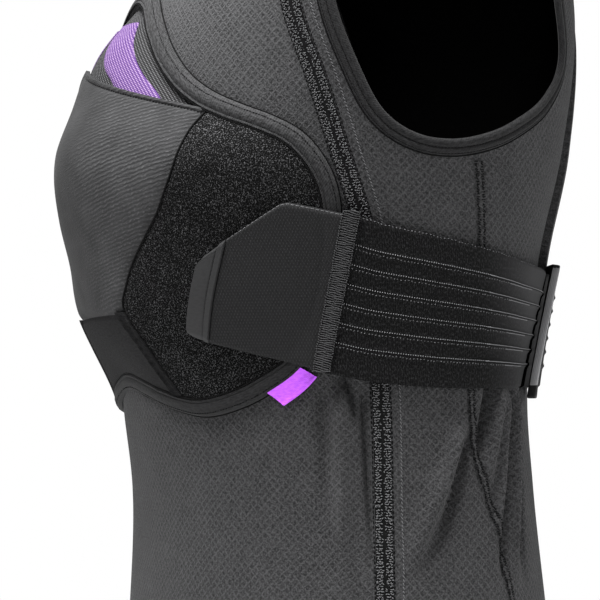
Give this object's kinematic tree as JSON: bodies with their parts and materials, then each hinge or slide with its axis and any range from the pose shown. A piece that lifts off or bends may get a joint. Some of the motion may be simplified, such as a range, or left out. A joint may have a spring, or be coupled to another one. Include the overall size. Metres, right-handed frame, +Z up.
{
  "type": "chest and back protector",
  "caption": "Sleeveless stretch vest with a padded chest pocket, a back pad and ribbed elastic side belts that fasten to the chest pad with hook tabs.",
  "frame": {"origin": "between the shoulders at the height of the shoulder line beside the neck, where the vest sits", "axes": "+Z up, chest towards -Y, wearer's left towards +X"},
  "size_m": [0.3424, 0.3102, 0.6372],
  "materials": {
    "knit": "matte stretch knit with a woven diamond grid",
    "binding": "matte twill binding tape",
    "rib_knit": "matte rib knit with wavy ribs",
    "dark_cloth": "matte dark cloth",
    "loop_pile": "fuzzy black loop pile",
    "elastic": "matte ribbed elastic",
    "tab_cloth": "fine dash-textured tape",
    "thread": "close grey thread",
    "plastic": "satin dark plastic",
    "purple_mesh": "purple mesh",
    "purple_tape": "purple woven tape"
  },
  "bodies": {
    "root": {"front_panel": "knit", "back_panel": "knit", "side_panel_left": "knit", "side_panel_right": "knit", "front_seam_left": "knit", "front_seam_right": "knit", "side_seam_left": "knit", "side_seam_right": "knit", "armhole_binding_left": "binding", "armhole_binding_right": "binding", "neck_binding": "binding", "hem_band": "knit", "chest_insert": "dark_cloth", "insert_band_left": "purple_mesh", "insert_band_right": "purple_mesh", "rib_panel": "rib_knit", "lower_panel": "dark_cloth", "loop_patch_left": "loop_pile", "loop_patch_right": "loop_pile", "pad_binding": "binding", "side_tag": "purple_tape", "belt_tab_left": "tab_cloth", "belt_tab_right": "tab_cloth", "tab_tip_left": "tab_cloth", "tab_tip_right": "tab_cloth", "stitch_band_left": "thread", "stitch_band_right": "thread", "belt_left": "elastic", "belt_right": "elastic", "slider_left": "plastic", "slider_right": "plastic", "back_pad": "knit"}
  },
  "joints": []
}
